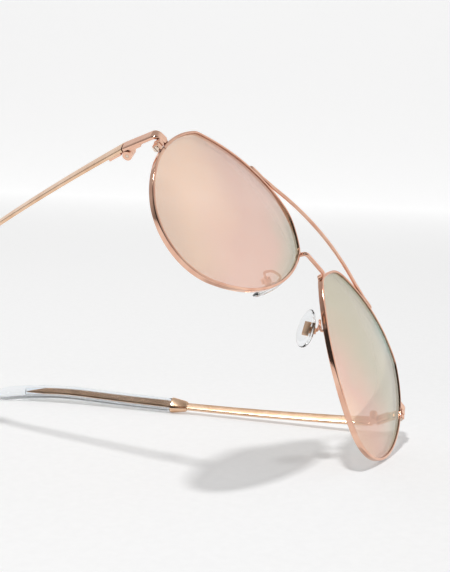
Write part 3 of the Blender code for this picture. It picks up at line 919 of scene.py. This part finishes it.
def one_sided_paper():
    material, tree, shader = new_finish("pale_paper")
    shader.inputs["Roughness"].default_value = 0.9
    shader.inputs["Specular IOR Level"].default_value = 0.0
    grain = ramp(tree, noise(tree, 400, 5), (0.3, (0.60, 0.60, 0.60)), (0.7, (0.62, 0.62, 0.62)))
    tree.links.new(grain, shader.inputs["Base Color"])
    shader.inputs["Emission Color"].default_value = (1, 1, 1, 1)
    place = tree.nodes.new("ShaderNodeTexCoord").outputs["Object"]
    depth = along_direction(tree, place, away)
    glow = spread(tree, depth, GLOW_NEAR, GLOW_FAR, GLOW_START, GLOW_END)
    tree.links.new(glow, shader.inputs["Emission Strength"])
    see_through = tree.nodes.new("ShaderNodeBsdfTransparent")
    pick = tree.nodes.new("ShaderNodeMixShader")
    side = tree.nodes.new("ShaderNodeNewGeometry")
    output = tree.nodes["Material Output"]
    tree.links.new(side.outputs["Backfacing"], pick.inputs["Fac"])
    tree.links.new(shader.outputs["BSDF"], pick.inputs[1])
    tree.links.new(see_through.outputs["BSDF"], pick.inputs[2])
    tree.links.new(pick.outputs["Shader"], output.inputs["Surface"])
    return material


# %% Sheet
sheet = bmesh.new()
near, far, half_width = -1.5, 1.6, 2.5
bend, wall_height, below = 0.8, 2.0, 0.0001
first = [sheet.verts.new((side * half_width, near, 0)) for side in (-1, 1)]
edge = sheet.edges.new(first)
flat = bmesh.ops.extrude_edge_only(sheet, edges=[edge])
moved = [item for item in flat["geom"] if isinstance(item, bmesh.types.BMVert)]
bmesh.ops.translate(sheet, vec=(0, far - near, 0), verts=moved)
end_edge = [item for item in flat["geom"] if isinstance(item, bmesh.types.BMEdge)
            and all(vert in moved for vert in item.verts)]
swept = bmesh.ops.spin(sheet, geom=moved + end_edge, cent=(0, far, bend), axis=(1, 0, 0),
                       angle=math.radians(90), steps=24, use_merge=False)
top = [item for item in swept["geom_last"] if isinstance(item, bmesh.types.BMEdge)]
wall = bmesh.ops.extrude_edge_only(sheet, edges=top)
bmesh.ops.translate(sheet, vec=(0, 0, wall_height), verts=[
    item for item in wall["geom"] if isinstance(item, bmesh.types.BMVert)])
stand = Matrix((across, away, FLOOR_UP)).transposed().to_4x4()
stand.translation = FLOOR_POINT - FLOOR_UP * below
bmesh.ops.transform(sheet, matrix=stand, verts=sheet.verts)
for face in sheet.faces:
    if face.normal.dot(FLOOR_UP - away) < 0:
        face.normal_flip()
sheet_mesh = bpy.data.meshes.new("paper_sweep")
sheet.to_mesh(sheet_mesh)
sheet.free()
sheet_mesh.shade_smooth()
sheet_mesh.materials.append(one_sided_paper())
paper = bpy.data.objects.new("paper_sweep", sheet_mesh)
bpy.context.scene.collection.objects.link(paper)

# %% [markdown]
# ## Light
# White paper, one small soft lamp overhead and a room that is bright beside the
# glasses and dark behind the camera. The lenses mirror the bright side, and the metal
# shows the dark side as brown lines. The lamp is small enough to cast clear shadows.

# %% World and lamps
ROOM_DARK, ROOM_BRIGHT = 0.04, 0.50
WINDOW_BRIGHT = 0.55
world = bpy.data.worlds.new("studio")
world.use_nodes = True
bpy.context.scene.world = world
background = world.node_tree.nodes["Background"]
background.inputs["Color"].default_value = (1.0, 1.0, 1.0, 1)
looking = world.node_tree.nodes.new("ShaderNodeTexCoord").outputs["Generated"]
behind = along_direction(world.node_tree, looking, away)
room = spread(world.node_tree, behind, ROOM_DARK, ROOM_BRIGHT, -0.35, 0.15)
beside = along_direction(world.node_tree, looking, across)
window = spread(world.node_tree, beside, 0.0, WINDOW_BRIGHT, 0.2, 1.0)
both = world.node_tree.nodes.new("ShaderNodeMath")
both.operation = "ADD"
world.node_tree.links.new(room, both.inputs[0])
world.node_tree.links.new(window, both.inputs[1])
world.node_tree.links.new(both.outputs["Value"], background.inputs["Strength"])


def soft_lamp(name, direction, distance, size, power, colour=(1, 1, 1)):
    """A square lamp that looks at the middle of the glasses."""
    data = bpy.data.lights.new(name, "AREA")
    data.shape = "SQUARE"
    data.size = size
    data.energy = power
    data.color = colour
    lamp = bpy.data.objects.new(name, data)
    bpy.context.scene.collection.objects.link(lamp)
    middle = Vector((0, 0, 0.03))
    lamp.location = middle + direction.normalized() * distance
    lamp.rotation_euler = (-direction).to_track_quat("-Z", "Y").to_euler()
    return lamp


LAMP_FROM = FLOOR_UP - across * 0.14 - away * 0.24
soft_lamp("tent_lamp", LAMP_FROM, distance=1.1, size=0.08, power=7.6)
bpy.context.scene.view_settings.view_transform = "Standard"
